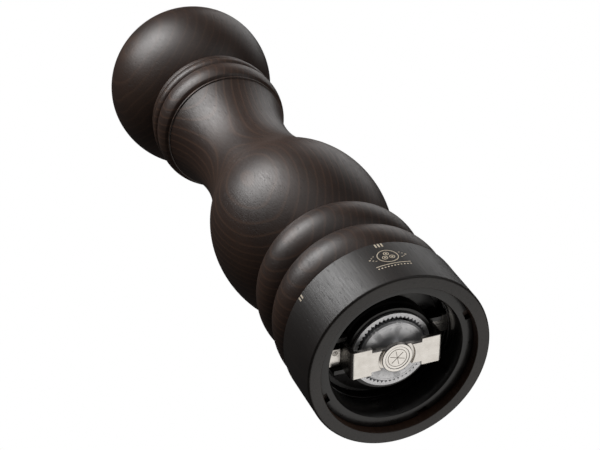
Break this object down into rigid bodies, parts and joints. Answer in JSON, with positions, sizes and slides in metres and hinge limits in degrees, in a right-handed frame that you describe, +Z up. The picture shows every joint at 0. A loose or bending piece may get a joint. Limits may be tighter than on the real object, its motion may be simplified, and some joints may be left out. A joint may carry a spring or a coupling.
{
  "type": "pepper mill",
  "caption": "Tall turned wooden pepper mill with a ball head, steel knob, grind selector ring in the foot and a steel grinding mechanism.",
  "frame": {"origin": "centre of the flat wooden rim that the mill stands on", "axes": "+Z up the mill's axis from the foot to the knob; +X along the steel stirrup under the grinding ring; -Y towards the side of the selector ring that carries three bars"},
  "size_m": [0.0576, 0.0576, 0.22],
  "materials": {
    "stained_beech": "dark chocolate stain under a satin lacquer",
    "stained_beech_ring": "grey-black stain under a satin lacquer",
    "black_plastic": "moulded, slightly glossy",
    "bright_steel": "bright pressed strip",
    "polished_steel": "polished",
    "hard_steel": "case-hardened, fine matte grain",
    "spring_steel": "drawn wire and strip",
    "brass": "turned"
  },
  "bodies": {
    "mill_body": {"body": "stained_beech", "mechanism_housing": "black_plastic", "housing_screws": "spring_steel", "grinding_ring": "hard_steel", "bearing_bush": "brass", "spring_washer": "spring_steel", "burr_spring": "spring_steel"},
    "selector": {"selector_ring": "stained_beech_ring", "selector_liner": "black_plastic"},
    "stirrup": {"stirrup": "bright_steel", "bearing_disc": "polished_steel"},
    "burr": {"grinding_burr": "hard_steel"},
    "shaft": {"drive_shaft": "bright_steel", "shaft_clip": "spring_steel", "bearing_washer": "spring_steel"},
    "head": {"head": "stained_beech", "driver_plate": "bright_steel", "driver_plate_screws": "spring_steel"},
    "knob_washer": {"knob_washer": "polished_steel"},
    "knob": {"top_knob": "polished_steel"}
  },
  "joints": [
    {"name": "selector_turn", "type": "hinge", "parent": "mill_body", "child": "selector", "pos_m": [0, 0, 0.01], "axis": [0, 0, 1], "range_deg": [-168, 112]},
    {"name": "grind_adjust", "type": "slide", "parent": "mill_body", "child": "stirrup", "axis": [0, 0, 1], "range_m": [-0.00094, 0.00063], "deforming": ["burr_spring"]},
    {"name": "shaft_turn", "type": "hinge", "parent": "mill_body", "child": "shaft", "pos_m": [0, 0, 0.023], "axis": [0, 0, 1], "continuous": true},
    {"name": "burr_turn", "type": "hinge", "parent": "stirrup", "child": "burr", "pos_m": [0, 0, 0.01], "axis": [0, 0, 1], "continuous": true},
    {"name": "head_lift", "type": "slide", "parent": "shaft", "child": "head", "axis": [0, 0, 1], "range_m": [0, 0.03]},
    {"name": "knob_rise", "type": "slide", "parent": "head", "child": "knob_washer", "axis": [0, 0, 1], "range_m": [0, 0.0064]},
    {"name": "knob_turn", "type": "hinge", "parent": "knob_washer", "child": "knob", "pos_m": [0, 0, 0.212], "axis": [0, 0, 1], "range_deg": [-2, 2882]}
  ],
  "couplings": [
    {"joint": "grind_adjust", "follows": "selector_turn", "m_per_rad": 0.00031831},
    {"joint": "burr_turn", "follows": "shaft_turn", "ratio": 1},
    {"joint": "knob_turn", "follows": "knob_rise", "rad_per_m": 7854}
  ]
}
